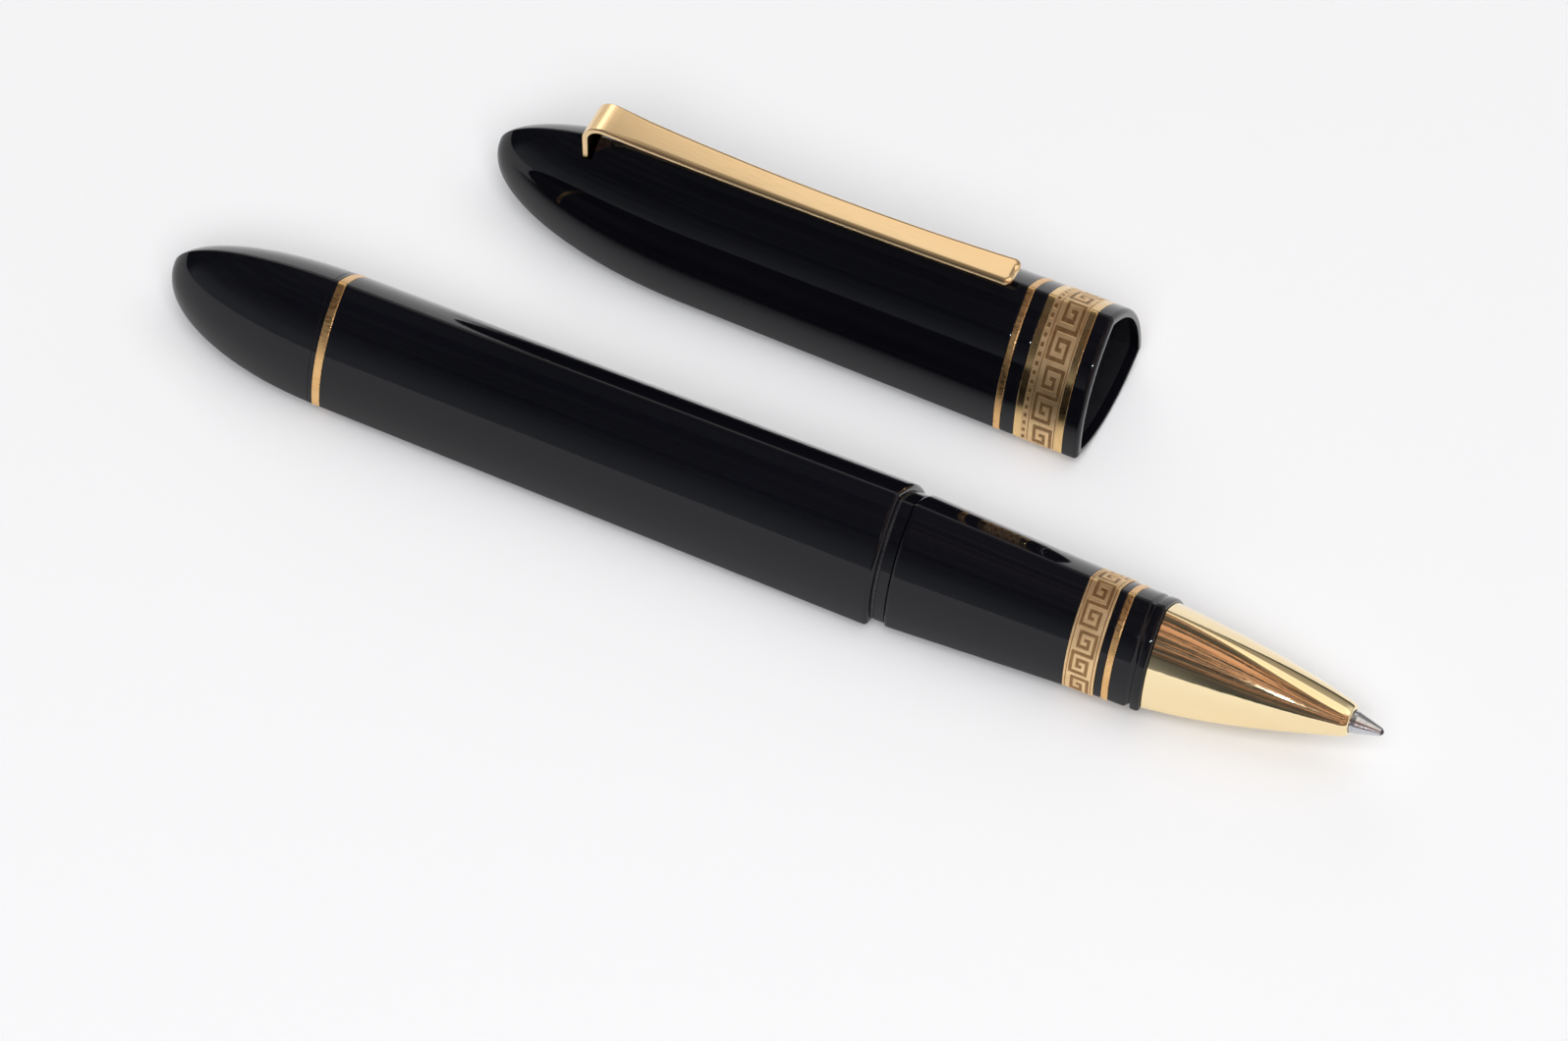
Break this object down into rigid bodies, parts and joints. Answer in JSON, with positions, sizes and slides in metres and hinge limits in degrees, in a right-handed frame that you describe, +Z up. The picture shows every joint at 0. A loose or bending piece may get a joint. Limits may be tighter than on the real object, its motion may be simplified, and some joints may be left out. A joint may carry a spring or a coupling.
{
  "type": "rollerball pen",
  "caption": "Black rollerball pen of rounded triangular section with gold trim, lying uncapped beside its clip cap.",
  "frame": {"origin": "middle of the footprint of the pen and its cap on the surface that they lie on", "axes": "+X along the pen towards its writing tip, +Y from the pen to the cap, +Z up"},
  "size_m": [0.1362, 0.0446, 0.0183],
  "materials": {
    "lacquer": "black gloss lacquer",
    "gold": "polished gold plate",
    "engraved_gold": "gold plate with engraved pattern",
    "raw_brass": "machined brass",
    "steel_tip": "turned steel",
    "spring_steel": "drawn wire",
    "ball": "dark carbide",
    "refill_body": "off-white plastic",
    "refill_feed": "black plastic",
    "felt": "ink-soaked felt",
    "liner": "black plastic",
    "washer": "black plastic washer"
  },
  "bodies": {
    "barrel": {"barrel": "lacquer", "barrel_insert": "raw_brass", "tail_ring": "gold", "tail_bush": "lacquer", "tail_cap": "lacquer", "refill_spring": "spring_steel"},
    "washer": {"seat_washer": "washer"},
    "section": {"section_core": "raw_brass", "section_shell": "lacquer", "section_band": "engraved_gold", "section_spacer_ring": "lacquer", "section_thin_ring": "gold", "section_collar": "lacquer", "nose_cone": "gold"},
    "refill": {"refill_tube": "refill_body", "refill_nose": "refill_feed", "refill_tip": "steel_tip", "refill_plug": "refill_feed", "ink_reservoir": "felt", "ink_wick": "felt"},
    "ball": {"writing_ball": "ball"},
    "cap": {"cap_shell": "lacquer", "cap_liner": "liner", "clip_anchor": "raw_brass", "clip_screw": "steel_tip", "cap_thin_ring": "gold", "cap_spacer_ring": "lacquer", "cap_band": "engraved_gold", "cap_lip_ring": "lacquer"},
    "clip": {"clip": "gold"}
  },
  "joints": [
    {"name": "section_advance", "type": "slide", "parent": "barrel", "child": "washer", "axis": [1, 0, 0], "range_m": [0, 0.006], "deforming": ["refill_spring"]},
    {"name": "section_turn", "type": "hinge", "parent": "washer", "child": "section", "pos_m": [0.01507, -0.01465, 0.00649], "axis": [1, 0, 0], "range_deg": [0, 2160]},
    {"name": "refill_press", "type": "slide", "parent": "section", "child": "refill", "axis": [1, 0, 0], "range_m": [-0.0015, 0], "stiffness_N_per_m": 300, "springref_m": 0.005, "deforming": ["refill_spring"]},
    {"name": "ball_roll", "type": "hinge", "parent": "refill", "child": "ball", "pos_m": [0.06778, -0.01465, 0.00649], "axis": [0, 1, 0], "continuous": true},
    {"name": "cap_pull", "type": "slide", "parent": "barrel", "child": "cap", "axis": [1, 0, 0], "range_m": [0, 0.053]},
    {"name": "clip_flex", "type": "hinge", "parent": "cap", "child": "clip", "pos_m": [-0.03377, 0.01405, 0.0136], "axis": [0, -1, 0], "range_deg": [0, 5], "stiffness_Nm_per_rad": 7.2, "springref_deg": -1.15}
  ],
  "couplings": [
    {"joint": "section_advance", "follows": "section_turn", "m_per_rad": 0.00015915}
  ]
}
